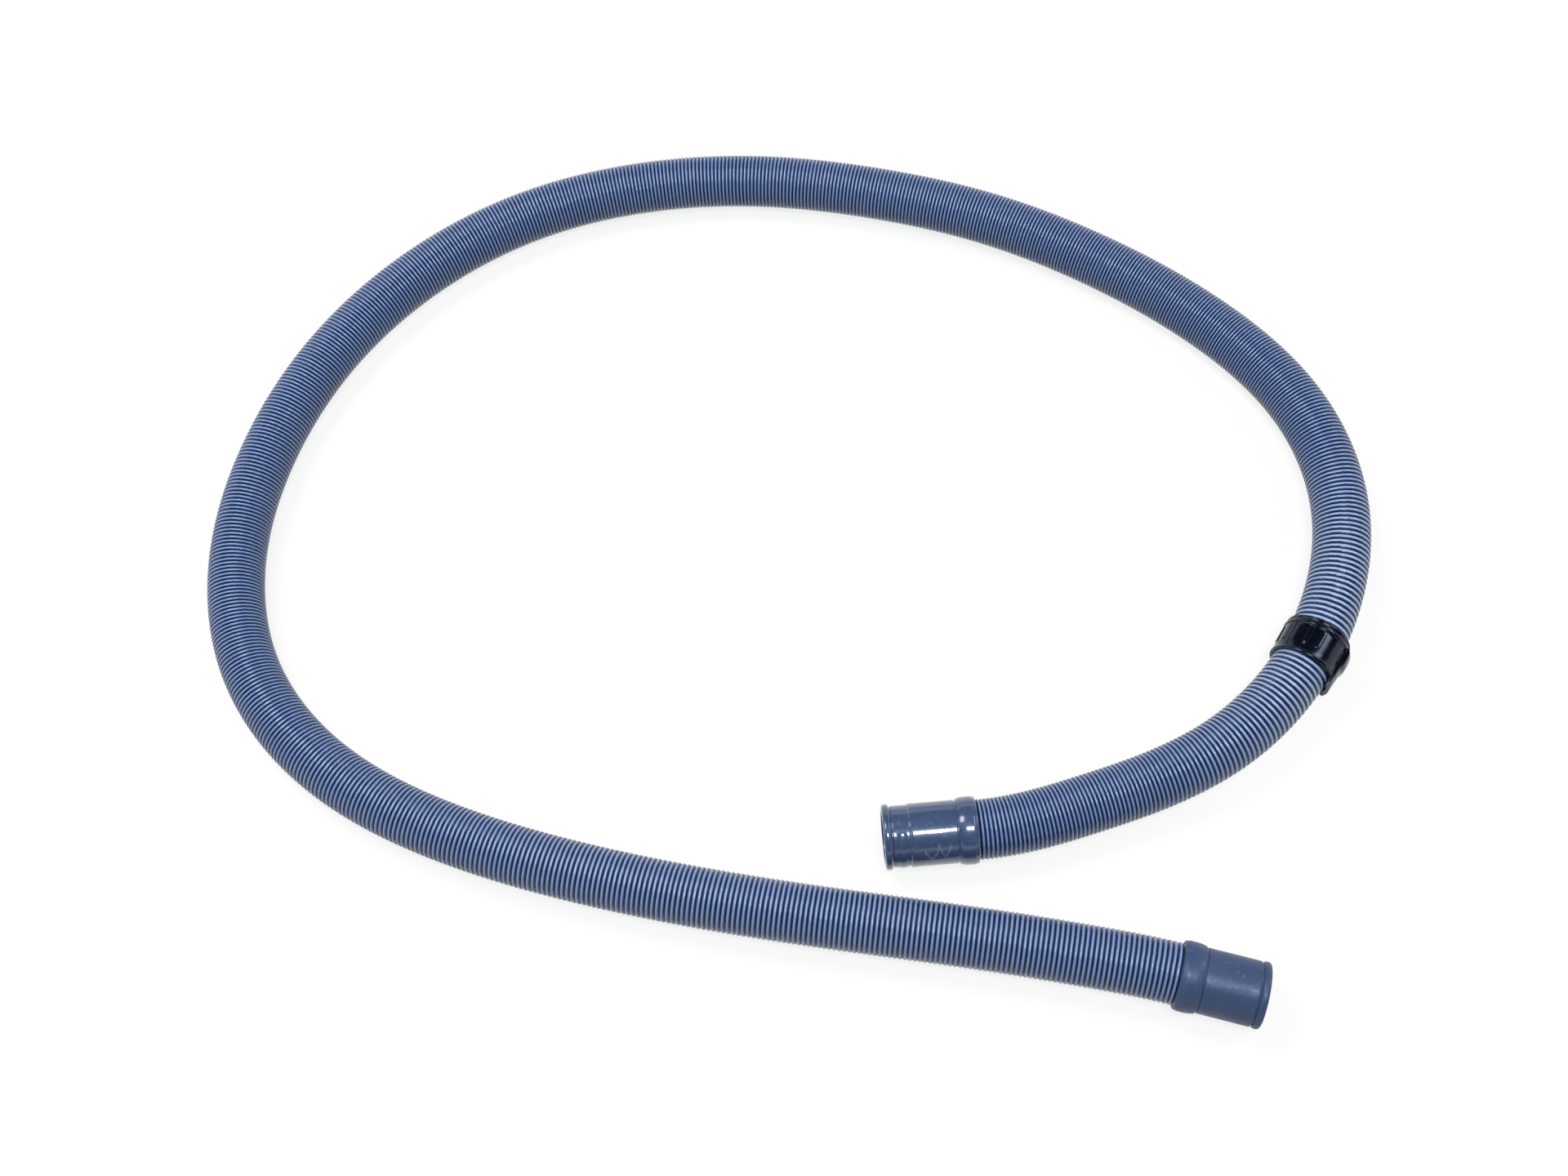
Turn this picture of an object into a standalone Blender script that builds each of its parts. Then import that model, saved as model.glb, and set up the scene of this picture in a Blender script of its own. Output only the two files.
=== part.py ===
"""Dishwasher drain hose, about 1.5 m long, lying in one open loop.

A corrugated plastic hose carries a moulded push-on cuff on each end and a black clip band round it. The
hose is plain here: its 1.9 mm corrugations are finer than this model's facets. Metres, +Z up, and the
floor is z = 0.
"""

import math

import bmesh
import bpy
import numpy as np
from mathutils import Matrix, Vector

MM = 0.001

# The whole loop, between the hose's middle lines
LOOP_WIDTH = 492.5 * MM
LOOP_DEPTH = 414.0 * MM

# Hose
HOSE_OD = 25.0 * MM
HOSE_SPAN = 21 * MM  # length of one straight facet along the hose
HOSE_SIDE_STEPS = 4  # bevel resolution, which gives twelve sides
FIT = 0.3 * MM  # clearance all round between the hose and each cuff or clip fitted over it

# End cuffs, measured from the mouth along the bore; the second, plain one is shorter
CUFF_LENGTH = 38.6 * MM
PLAIN_CUFF_LENGTH = 34.0 * MM
CUFF_BORE = 22.0 * MM  # slips over a 21.5 mm spigot
CUFF_WALL = 2.0 * MM
MOUTH_CHAMFER = 0.5 * MM
BEAD_WIDTH = 3.2 * MM
BEAD_RISE = 0.5 * MM
BEAD_GROOVE_WIDTH = 0.6 * MM
COLLAR_LENGTH = 8.0 * MM
PLAIN_COLLAR_LENGTH = 8.8 * MM
COLLAR_TAPER = 3.0 * MM
COLLAR_WALL = 1.2 * MM
COLLAR_LIP_RADIUS = 1.0 * MM
GROOVE_WIDTH = 0.7 * MM  # the line moulded round the foot of the collar
GROOVE_DEPTH = 0.35 * MM
SEAT_DEPTH = 6.0 * MM  # how far the hose goes into the collar

# Recessed band behind the mouth of the first cuff, with a short moulded locating bar across its front
BAND_LENGTH = 7.4 * MM
BAND_DEPTH = 0.4 * MM
BAR_WIDTH = 2.6 * MM
BAR_RISE = 0.3 * MM
BAR_START = math.radians(102)
BAR_END = math.radians(203)

# Clip band
CLIP_LENGTH = 17.8 * MM
CLIP_PLACE = 169.0 * MM  # from the first cuff's lip to the clip's middle, along the hose
CLIP_WALL = 1.2 * MM
CLIP_RIM_WIDTH = 1.7 * MM
CLIP_RIM_RISE = 0.6 * MM
CLIP_FLANGE_WIDTH = 1.4 * MM
CLIP_FLANGE_RISE = 0.2 * MM
GRIP_BAR_LENGTH = 8.0 * MM
GRIP_BAR_RISE = 0.4 * MM
GRIP_START = math.radians(2)
GRIP_BARS = 5
LATCH_RISE = 2.4 * MM
LATCH_TAIL = 4.0 * MM  # how far the latch reaches past the band's near rim
LATCH_TAIL_THICKNESS = 1.4 * MM
LATCH_STEP = 1.0 * MM
LATCH_ANGLE = math.radians(52)
LATCH_CENTRE = math.radians(180)
LATCH_EDGE = 0.5 * MM

SIDES = 48

# What the two ends rest on: the widest ring of each cuff
COLLAR_BORE_RADIUS = HOSE_OD / 2 + FIT
COLLAR_RADIUS = COLLAR_BORE_RADIUS + COLLAR_WALL
BARREL_RADIUS = CUFF_BORE / 2 + CUFF_WALL
REST_RADIUS = max(COLLAR_RADIUS, BARREL_RADIUS + BEAD_RISE)
END_LIFT = (REST_RADIUS - HOSE_OD / 2) / MM

# The clip rests on its rims, which lift the hose a little there
CLIP_LIFT = (FIT + CLIP_WALL + CLIP_RIM_RISE) / MM

# The hose's route from the lip of one cuff to the lip of the other, chosen by eye from the photograph.
# Each point is x, y and the clear height under the hose, in millimetres. The hose lies along the floor
# and is lifted only by the cuffs and the clip.
ROUTE = [
    (65.6, -134.2, END_LIFT),
    (88, -132.7, 1.1),
    (111.5, -128.2, 0.6),
    (140.7, -121.1, 0.4),
    (173.5, -108.3, 1.2),
    (204.5, -85.3, CLIP_LIFT),
    (230.5, -50.3, CLIP_LIFT),
    (246, 0.2, 0.6),
    (238.5, 51.2, 0.2),
    (206, 101.2, 0.2),
    (163, 140.7, 0.2),
    (114, 172.7, 0.2),
    (60.5, 195.2, 0.2),
    (4, 209.7, 0.2),
    (-54.5, 212.7, 0.2),
    (-111.5, 201.7, 0.2),
    (-163, 174.7, 0.2),
    (-205, 134.2, 0.2),
    (-233.5, 83.7, 0.2),
    (-246.5, 26.7, 0.2),
    (-237.5, -29.8, 0.2),
    (-203.5, -77.8, 0.2),
    (-155.5, -110.3, 0.2),
    (-102, -133.3, 0.2),
    (-46.5, -151.3, 0.2),
    (10, -166.3, 0.2),
    (66.9, -180.5, 0.3),
    (107.3, -191.9, 0.9),
    (135.7, -201.3, END_LIFT),
]
START_HEADING = math.radians(-1.15)  # the way the hose leaves the first cuff, from +X towards +Y
END_HEADING = math.radians(-20.67)  # and the way it enters the second


def heading(angle):
    return np.array([math.cos(angle), math.sin(angle), 0.0])


def sized_route():
    """ROUTE as points on the hose's middle line, stretched to the loop's width and depth."""
    points = np.array([(x, y, lift + HOSE_OD / 2 / MM) for x, y, lift in ROUTE]) * MM
    points[:, :2] *= (LOOP_WIDTH, LOOP_DEPTH) / np.ptp(points[:, :2], axis=0)
    return points


def smooth_route(spacing):
    """Points along the smooth curve through the route: a cubic spline that leaves both ends level."""
    points = sized_route()
    spans = np.linalg.norm(np.diff(points, axis=0), axis=1)
    count = len(points)
    equations = np.eye(count)
    slopes = np.zeros((count, 3))
    slopes[0] = heading(START_HEADING)
    slopes[-1] = heading(END_HEADING)
    for i in range(1, count - 1):
        before, after = spans[i - 1], spans[i]
        equations[i, i - 1 : i + 2] = after, 2 * (before + after), before
        steps = after / before * (points[i] - points[i - 1]) + before / after * (points[i + 1] - points[i])
        slopes[i] = 3 * steps
    slopes = np.linalg.solve(equations, slopes)
    curve = [points[0]]
    for i, span in enumerate(spans):
        steps = max(1, round(span / spacing))
        for t in np.linspace(0, 1, steps + 1)[1:]:
            curve.append(
                (2 * t**3 - 3 * t**2 + 1) * points[i]
                + (t**3 - 2 * t**2 + t) * span * slopes[i]
                + (3 * t**2 - 2 * t**3) * points[i + 1]
                + (t**3 - t**2) * span * slopes[i + 1]
            )
    return np.array(curve)


def lengths_along(curve):
    return np.concatenate([[0], np.cumsum(np.linalg.norm(np.diff(curve, axis=0), axis=1))])


def at_lengths(curve, wanted):
    along = lengths_along(curve)
    return np.stack([np.interp(wanted, along, curve[:, axis]) for axis in range(3)], axis=1)


def hose_points():
    """The hose's facets: straight in each collar and through the clip, and along the curve between."""
    curve = smooth_route(MM)
    total = lengths_along(curve)[-1]
    clip_start = CLIP_PLACE - HOSE_SPAN / 2
    clip_end = CLIP_PLACE + HOSE_SPAN / 2
    before = np.linspace(0, clip_start, round(clip_start / HOSE_SPAN) + 1)
    after = np.linspace(clip_end, total, round((total - clip_end) / HOSE_SPAN) + 1)
    middle = at_lengths(curve, np.concatenate([before, after]))
    start = curve[0] - SEAT_DEPTH * heading(START_HEADING)
    end = curve[-1] + SEAT_DEPTH * heading(END_HEADING)
    return np.vstack([start, middle, end]), len(before)


def material(name, colour, roughness):
    """A plastic or rubber finish; the colour is linear."""
    made = bpy.data.materials.new(name)
    made.use_nodes = True
    shader = made.node_tree.nodes["Principled BSDF"]
    shader.inputs["Base Color"].default_value = (*colour, 1)
    shader.inputs["Roughness"].default_value = roughness
    return made


def add_object(name, data, finish):
    made = bpy.data.objects.new(name, data)
    bpy.context.collection.objects.link(made)
    data.materials.append(finish)
    return made


def place(piece, origin, direction):
    """Stands the piece's own +Z along a direction, with its +Y as near to up as it goes."""
    piece.location = origin
    piece.rotation_euler = Vector(direction).to_track_quat("Z", "Y").to_euler()


def turned(outline, angle=math.tau, start=0.0):
    """A closed outline of (along, radius) points turned about +Z, all round or through an angle."""
    steps = max(3, round(SIDES * angle / math.tau))
    mesh = bmesh.new()
    ring = [mesh.verts.new((radius, 0, along)) for along, radius in outline]
    edges = [mesh.edges.new(pair) for pair in zip(ring, ring[1:] + ring[:1])]
    whole = angle == math.tau
    if not whole:
        mesh.faces.new(ring)
    turn = Matrix.Rotation(start, 3, "Z")
    bmesh.ops.rotate(mesh, verts=ring, matrix=turn)
    spun = bmesh.ops.spin(
        mesh, geom=ring + edges, axis=(0, 0, 1), angle=angle, steps=steps, use_merge=whole
    )
    if not whole:
        last = [item for item in spun["geom_last"] if isinstance(item, bmesh.types.BMVert)]
        bmesh.ops.contextual_create(mesh, geom=last)
    bmesh.ops.recalc_face_normals(mesh, faces=mesh.faces)
    return mesh


def raise_patch(mesh, low, high, start, end, rise):
    """Lifts the outer faces between two heights and two angles straight off a turned surface."""
    chosen = []
    for face in mesh.faces:
        middle = face.calc_center_median()
        angle = math.atan2(middle.y, middle.x) % math.tau
        outer = face.normal.dot(Vector((middle.x, middle.y, 0))) > 0
        if outer and low < middle.z < high and start < angle < end:
            chosen.append(face)
    lifted = bmesh.ops.extrude_face_region(mesh, geom=chosen)["geom"]
    bmesh.ops.delete(mesh, geom=chosen, context="FACES")
    for vert in lifted:
        if isinstance(vert, bmesh.types.BMVert):
            radius = math.hypot(vert.co.x, vert.co.y)
            vert.co.x *= 1 + rise / radius
            vert.co.y *= 1 + rise / radius


def finished(mesh, name):
    data = bpy.data.meshes.new(name)
    mesh.to_mesh(data)
    mesh.free()
    data.shade_smooth()
    data.set_sharp_from_angle(angle=math.radians(35))
    return data


def rounded(along, radius, size, first, last, steps=4):
    """Points on an arc in the outline's plane, from one angle to another, counted from +radius."""
    angles = [math.radians(first + (last - first) * i / steps) for i in range(steps + 1)]
    return [(along + size * math.sin(a), radius + size * math.cos(a)) for a in angles]


def cuff_outline(length, collar_length, band_length):
    """One side of a cuff's section, from the mouth's bore edge out, along to the lip and back inside."""
    bore = CUFF_BORE / 2
    band_depth = BAND_DEPTH if band_length else 0
    bead_end = BEAD_WIDTH + BEAD_GROOVE_WIDTH
    band_end = bead_end + band_length
    foot = length - collar_length
    shoulder = length - SEAT_DEPTH - FIT
    bead = BARREL_RADIUS + BEAD_RISE
    bead_round = BEAD_WIDTH / 2.5
    outline = [(0, bore + MOUTH_CHAMFER)]
    outline += rounded(bead_round, bead - bead_round, bead_round, -90, 0)
    outline += rounded(BEAD_WIDTH - bead_round, bead - bead_round, bead_round, 0, 60, 3)
    outline += [
        (BEAD_WIDTH, BARREL_RADIUS - GROOVE_DEPTH),
        (bead_end, BARREL_RADIUS - GROOVE_DEPTH),
        (bead_end, BARREL_RADIUS - band_depth),
    ]
    if band_length:
        bar_start = (bead_end + band_end - BAR_WIDTH) / 2
        outline += [
            (bar_start, BARREL_RADIUS - band_depth),
            (bar_start + BAR_WIDTH, BARREL_RADIUS - band_depth),
            (band_end - GROOVE_WIDTH, BARREL_RADIUS - band_depth),
            (band_end, BARREL_RADIUS),
        ]
    outline += [
        (foot - GROOVE_WIDTH, BARREL_RADIUS),
        (foot - GROOVE_WIDTH, BARREL_RADIUS - GROOVE_DEPTH),
        (foot, BARREL_RADIUS - GROOVE_DEPTH),
        (foot, BARREL_RADIUS + GROOVE_DEPTH),
        (foot + COLLAR_TAPER, COLLAR_RADIUS),
    ]
    lip = COLLAR_LIP_RADIUS
    outline += rounded(length - lip, COLLAR_RADIUS - lip, lip, 0, 90)
    outline += [
        (length, COLLAR_BORE_RADIUS),
        (shoulder, COLLAR_BORE_RADIUS),
        (shoulder, bore),
        (MOUTH_CHAMFER, bore),
    ]
    return outline


def make_cuff(name, lip, direction, finish, length, collar_length, band_length=0):
    """A cuff whose lip is at a point on the hose; the direction is from its mouth into the hose."""
    mesh = turned(cuff_outline(length, collar_length, band_length))
    if band_length:
        bar_middle = BEAD_WIDTH + BEAD_GROOVE_WIDTH + band_length / 2
        raise_patch(
            mesh, bar_middle - BAR_WIDTH / 2, bar_middle + BAR_WIDTH / 2, BAR_START, BAR_END, BAR_RISE
        )
    cuff = add_object(name, finished(mesh, name), finish)
    place(cuff, lip - length * direction, direction)
    return cuff


def clip_outline():
    """One side of the clip band's section: a channel between two rims, and a slim flange past one."""
    bore = HOSE_OD / 2 + FIT
    band = bore + CLIP_WALL
    rim = band + CLIP_RIM_RISE
    half = CLIP_LENGTH / 2
    flange_start = half - CLIP_FLANGE_WIDTH
    grip = GRIP_BAR_LENGTH / 2
    return [
        (-half, bore),
        (-half, rim - CLIP_RIM_RISE / 2),
        (-half + CLIP_RIM_WIDTH / 3, rim),
        (-half + CLIP_RIM_WIDTH, rim),
        (-half + CLIP_RIM_WIDTH + CLIP_RIM_RISE / 2, band),
        (-grip, band),
        (grip, band),
        (flange_start - CLIP_RIM_WIDTH - CLIP_RIM_RISE / 2, band),
        (flange_start - CLIP_RIM_WIDTH, rim),
        (flange_start - CLIP_RIM_WIDTH / 3, rim),
        (flange_start, band),
        (flange_start + CLIP_FLANGE_WIDTH / 3, band + CLIP_FLANGE_RISE),
        (half, band + CLIP_FLANGE_RISE),
        (half, bore),
    ]


def latch_outline():
    """The latch's section: thickest near the flange, then a step down to a tail past the near rim."""
    band = HOSE_OD / 2 + FIT + CLIP_WALL
    root = band - CLIP_WALL / 2
    half = CLIP_LENGTH / 2
    top = band + LATCH_RISE
    low = top - LATCH_STEP
    return [
        (half - CLIP_FLANGE_WIDTH, root),
        (-half - LATCH_TAIL, root),
        (-half - LATCH_TAIL, root + LATCH_TAIL_THICKNESS / 2),
        (-half, root + LATCH_TAIL_THICKNESS),
        (-half / 3, low),
        (-half / 3, top - LATCH_STEP / 3),
        (0, top),
        (half / 3, top),
        (half - CLIP_FLANGE_WIDTH, band + CLIP_RIM_RISE),
    ]


def make_clip(middle, direction, finish):
    mesh = turned(clip_outline())
    pitch = math.tau / SIDES * 2
    for i in range(GRIP_BARS):
        start = GRIP_START + i * pitch * 1.5
        raise_patch(
            mesh, -GRIP_BAR_LENGTH / 2, GRIP_BAR_LENGTH / 2, start, start + pitch / 2 + 0.01, GRIP_BAR_RISE
        )
    clip = add_object("hose_clip", finished(mesh, "hose_clip"), finish)
    latch_mesh = turned(latch_outline(), LATCH_ANGLE, LATCH_CENTRE - LATCH_ANGLE / 2)
    latch = add_object("latch_guide", finished(latch_mesh, "latch_guide"), finish)
    edges = latch.modifiers.new("rounded edges", "BEVEL")
    edges.width = LATCH_EDGE
    edges.segments = 2
    latch.hide_render = True
    latch.display_type = "WIRE"
    latch.parent = clip
    joined = clip.modifiers.new("latch", "BOOLEAN")
    joined.operation = "UNION"
    joined.object = latch
    place(clip, middle, direction)
    return clip


def make_hose(points, finish):
    curve = bpy.data.curves.new("drain_hose", "CURVE")
    curve.dimensions = "3D"
    curve.twist_mode = "Z_UP"
    curve.bevel_depth = HOSE_OD / 2
    curve.bevel_resolution = HOSE_SIDE_STEPS
    curve.use_fill_caps = True
    spline = curve.splines.new("POLY")
    spline.points.add(len(points) - 1)
    for point, place_on_route in zip(spline.points, points):
        point.co = (*place_on_route, 1)
    return add_object("drain_hose", curve, finish)


for old in list(bpy.data.objects):
    bpy.data.objects.remove(old, do_unlink=True)

hose_finish = material("blue grey corrugated plastic", (0.13, 0.19, 0.35), 0.35)
cuff_finish = material("blue grey moulded rubber", (0.065, 0.105, 0.215), 0.4)
clip_finish = material("black moulded plastic", (0.006, 0.006, 0.01), 0.25)

hose_line, clip_index = hose_points()
make_hose(hose_line, hose_finish)

start_lip, end_lip = hose_line[1], hose_line[-2]
into_start = heading(START_HEADING)
into_end = -heading(END_HEADING)
make_cuff("cuff_with_band", start_lip, into_start, cuff_finish, CUFF_LENGTH, COLLAR_LENGTH, BAND_LENGTH)
make_cuff("cuff_plain", end_lip, into_end, cuff_finish, PLAIN_CUFF_LENGTH, PLAIN_COLLAR_LENGTH)

clip_near, clip_far = hose_line[clip_index], hose_line[clip_index + 1]
make_clip((clip_near + clip_far) / 2, clip_far - clip_near, clip_finish)
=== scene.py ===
"""Looks of a dishwasher drain hose: blown corrugated hose, two moulded cuffs and a black clip band."""

import math

import bpy
import numpy as np
from mathutils import Matrix, Vector


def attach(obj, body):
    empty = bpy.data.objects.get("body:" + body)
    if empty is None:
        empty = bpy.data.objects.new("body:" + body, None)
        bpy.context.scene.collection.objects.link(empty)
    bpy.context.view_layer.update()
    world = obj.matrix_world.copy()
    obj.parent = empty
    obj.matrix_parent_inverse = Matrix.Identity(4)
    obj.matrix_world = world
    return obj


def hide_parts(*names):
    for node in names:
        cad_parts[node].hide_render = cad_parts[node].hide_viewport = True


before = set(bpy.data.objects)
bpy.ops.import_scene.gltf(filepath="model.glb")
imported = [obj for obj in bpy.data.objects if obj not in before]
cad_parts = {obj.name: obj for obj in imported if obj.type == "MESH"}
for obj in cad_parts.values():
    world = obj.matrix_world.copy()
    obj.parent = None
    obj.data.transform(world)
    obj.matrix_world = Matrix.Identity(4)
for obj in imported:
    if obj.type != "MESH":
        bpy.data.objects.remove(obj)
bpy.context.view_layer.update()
bpy.ops.object.select_all(action="DESELECT")

MM = 0.001

# Hose, in metres
HOSE_RADIUS = 12.5 * MM
HOSE_BORE_RADIUS = 10.3 * MM
RIB_DEPTH = 0.62 * MM
HOSE_SIDES = 24
BORE_RING_SPACING = 12 * MM
PAINTED_HIGHLIGHT_FROM = 1.95 * MM  # ribs further apart than this are drawn out, and their wall gets a painted highlight
PAINTED_HIGHLIGHT_OVER = 0.5 * MM  # and this much further apart the painted highlight is as pale as it gets
SEAT_DEPTH = 6 * MM  # how far each end goes into its cuff
LOOP_WIDTH = 0.4925
LOOP_DEPTH = 0.414
END_LIFT = 1.5 * MM
CLIP_LIFT = 2.1 * MM

# The route of the hose from one cuff's lip to the other's: x, y and the clear height under it, in metres
ROUTE = [
    (0.0656, -0.1342, END_LIFT),
    (0.088, -0.1327, 0.0011),
    (0.1115, -0.1282, 0.0006),
    (0.1407, -0.1211, 0.0004),
    (0.1735, -0.1083, 0.0012),
    (0.2045, -0.0853, CLIP_LIFT),
    (0.2305, -0.0503, CLIP_LIFT),
    (0.246, 0.0002, 0.0006),
    (0.2385, 0.0512, 0.0002),
    (0.206, 0.1012, 0.0002),
    (0.163, 0.1407, 0.0002),
    (0.114, 0.1727, 0.0002),
    (0.0605, 0.1952, 0.0002),
    (0.004, 0.2097, 0.0002),
    (-0.0545, 0.2127, 0.0002),
    (-0.1115, 0.2017, 0.0002),
    (-0.163, 0.1747, 0.0002),
    (-0.205, 0.1342, 0.0002),
    (-0.2335, 0.0837, 0.0002),
    (-0.2465, 0.0267, 0.0002),
    (-0.2375, -0.0298, 0.0002),
    (-0.2035, -0.0778, 0.0002),
    (-0.1555, -0.1103, 0.0002),
    (-0.102, -0.1333, 0.0002),
    (-0.0465, -0.1513, 0.0002),
    (0.01, -0.1663, 0.0002),
    (0.0669, -0.1805, 0.0003),
    (0.1073, -0.1919, 0.0009),
    (0.1357, -0.2013, END_LIFT),
]
START_HEADING = math.radians(-1.15)
END_HEADING = math.radians(-20.67)

# How far apart the ribs stand along the hose, in millimetres: drawn out by the clip, pressed
# together in the tight bend after it
RIB_PITCHES = [
    (-6, 1.7), (60, 1.8), (110, 2.15), (150, 2.5), (175, 2.6), (215, 2.4), (260, 2.05), (300, 1.72),
    (345, 1.56), (420, 1.66), (520, 1.78), (700, 1.86), (900, 1.91), (980, 1.8), (1060, 2.0),
    (1180, 2.08), (1320, 2.03), (1431, 1.96),
]

# One rib: share of the pitch, and depth below the crest as a share of RIB_DEPTH. The last is the crease
# between two ribs.
RIB_PROFILE = [(0.05, 0.2), (0.16, 0.04), (0.37, 0.04), (0.48, 0.2), (0.765, 1.0)]

# Cuffs, measured from the mouth along the bore
CUFF_LENGTH = 38.6 * MM
COLLAR_LENGTH = 8.0 * MM
PLAIN_CUFF_LENGTH = 34.0 * MM
PLAIN_COLLAR_LENGTH = 8.8 * MM
CUFF_BORE_RADIUS = 11.0 * MM
BARREL_RADIUS = 13.0 * MM
BEAD_RADIUS = 13.5 * MM
PLAIN_BEAD_RADIUS = 13.25 * MM
BEAD_WIDTH = 3.2 * MM
BEAD_ROUND = BEAD_WIDTH / 2.5
COLLAR_RADIUS = 14.0 * MM
COLLAR_BORE_RADIUS = 12.8 * MM
BAND_RADIUS = 12.6 * MM
BAND_START = 3.8 * MM
BAND_END = 11.2 * MM
BAR_WIDTH = 2.6 * MM
BAR_RISE = 0.3 * MM
MOUTH_ROUND = 0.6 * MM
SEAM_DEPTH = 0.7 * MM  # the groove behind the bead
PLAIN_SEAM_DEPTH = 0.4 * MM
NECK_RADIUS = BARREL_RADIUS - 0.4 * MM  # the groove before the collar
LINE_RISE = 0.12 * MM  # the fine raised line behind the band
LIP_ROUND = 1.1 * MM
LIP_GAP = 0.08 * MM  # the lip hugs the hose
SEAT_GAP = 0.3 * MM  # beyond the hose's end
CUFF_SOFTNESS = 0.12 * MM
BAR_ANGLES = (102, 203)  # degrees round the cuff, counted from its left through its top

# Clip band
CLIP_PLACE = 169 * MM  # from the first cuff's lip to the clip's middle, along the hose
CLIP_LENGTH = 17.8 * MM
CLIP_SPAN = 21 * MM  # the stretch of hose that the clip keeps straight
CLIP_BORE_RADIUS = 12.8 * MM
CLIP_SOFTNESS = 0.16 * MM
GRIP_BARS = 5
GRIP_BAR_REACH = 4 * MM  # from the clip's middle, both ways
GRIP_BAR_RISE = 0.4 * MM
LATCH_ANGLES = (153, 207)
LATCH_REACH = (-8.9 * MM, 6.6 * MM)
LATCH_FROM = 13.7 * MM  # faces of the band further out than this are its outside
TAIL_FROM = 13.4 * MM  # and faces of its near end further out than this are its rim
TAIL_START = -8.5 * MM
TAIL_LENGTH = 4.0 * MM
TAIL_TAPER = 0.975

# The clip's outside, near end first: how far along from its middle, and radius, in millimetres
CLIP_OUTSIDE = [
    (-8.9, 13.4), (-8.9, 13.9), (-8.6, 14.2), (-8.0, 14.3), (-7.6, 14.25), (-7.3, 14.0), (-5.4, 14.0),
    (-4.0, 14.0), (-3.2, 14.0), (-2.5, 14.0), (-0.6, 14.0), (1.6, 14.0), (3.2, 14.0), (4.0, 14.0),
    (4.9, 14.0), (5.3, 14.5), (5.9, 14.6), (6.6, 14.45), (7.2, 13.85), (7.6, 13.85), (7.9, 14.1),
    (8.5, 14.2), (8.9, 14.1),
]

# The latch's back over the same stations
LATCH_BACK = [
    (-8.6, 14.85), (-8.0, 14.9), (-7.6, 14.95), (-7.3, 15.0), (-5.4, 15.15), (-4.0, 15.3), (-3.2, 15.4),
    (-2.5, 15.95), (-0.6, 16.3), (1.6, 16.4), (3.2, 16.3), (4.0, 16.15), (4.9, 15.9), (5.3, 15.75),
    (5.9, 15.4), (6.6, 14.9),
]

# Cuffs and clip alike
TURNED_SIDES = 96
ROUNDED_FROM = math.radians(28)  # edges that bend more than this are rounded
SMOOTH_UP_TO = math.radians(40)  # edges that bend less than this are shaded smooth

# Camera, fitted to the photograph
PHOTO_WIDTH = 1920
FOCAL_PIXELS = 2154
SENSOR_WIDTH = 36
CAMERA_PLACE = (-0.00286, -0.3534, 0.70939)
CAMERA_PITCH = math.radians(64.091)
CAMERA_ROLL = math.radians(-5.898)

# Light
GLINT = "#c8d8ff"  # all the plastics here reflect a little bluer than white
FLOOR_SIZE = 6
FLOOR_SEEN = 0.83  # how bright the camera sees the floor near the object, before the light on it
FLOOR_FADE = (0.5, 1.2)  # metres from the middle over which it rises to white
ROOM_LIGHT = 0.05
ROOM_LOW = (0.3, 0.36)  # how far up one looks, 0 level and 1 overhead, as white turns to the dim room


# Route


def heading(angle):
    """A level direction."""
    return np.array([math.cos(angle), math.sin(angle), 0.0])


def smooth_route(spacing):
    """Points along the smooth curve through ROUTE."""
    points = np.array([(x, y, lift + HOSE_RADIUS) for x, y, lift in ROUTE])
    points[:, :2] *= (LOOP_WIDTH, LOOP_DEPTH) / np.ptp(points[:, :2], axis=0)
    spans = np.linalg.norm(np.diff(points, axis=0), axis=1)
    count = len(points)
    equations = np.eye(count)
    slopes = np.zeros((count, 3))
    slopes[0] = heading(START_HEADING)
    slopes[-1] = heading(END_HEADING)
    for i in range(1, count - 1):
        before, after = spans[i - 1], spans[i]
        equations[i, i - 1 : i + 2] = after, 2 * (before + after), before
        steps = after / before * (points[i] - points[i - 1]) + before / after * (points[i + 1] - points[i])
        slopes[i] = 3 * steps
    slopes = np.linalg.solve(equations, slopes)
    curve = [points[0]]
    for i, span in enumerate(spans):
        for t in np.linspace(0, 1, max(1, round(span / spacing)) + 1)[1:]:
            curve.append(
                (2 * t**3 - 3 * t**2 + 1) * points[i]
                + (t**3 - 2 * t**2 + t) * span * slopes[i]
                + (3 * t**2 - 2 * t**3) * points[i + 1]
                + (t**3 - t**2) * span * slopes[i + 1]
            )
    start = curve[0] - SEAT_DEPTH * heading(START_HEADING)
    end = curve[-1] + SEAT_DEPTH * heading(END_HEADING)
    return np.vstack([start, curve, end])


hose_line = smooth_route(MM)
hose_along = np.concatenate([[0], np.cumsum(np.linalg.norm(np.diff(hose_line, axis=0), axis=1))])
hose_length = hose_along[-1]


def on_hose(along):
    """Points on the hose's middle line at these lengths from its first end."""
    return np.stack([np.interp(along, hose_along, hose_line[:, axis]) for axis in range(3)], axis=-1)


def frames_on_hose(along):
    """(points, forward, left, up) for rings across the hose at these lengths."""
    points = on_hose(along)
    forward = on_hose(np.minimum(along + MM, hose_length)) - on_hose(np.maximum(along - MM, 0))
    forward /= np.linalg.norm(forward, axis=1)[:, None]
    left = np.cross((0, 0, 1), forward)
    left /= np.linalg.norm(left, axis=1)[:, None]
    return points, forward, left, np.cross(forward, left)


# Camera

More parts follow.
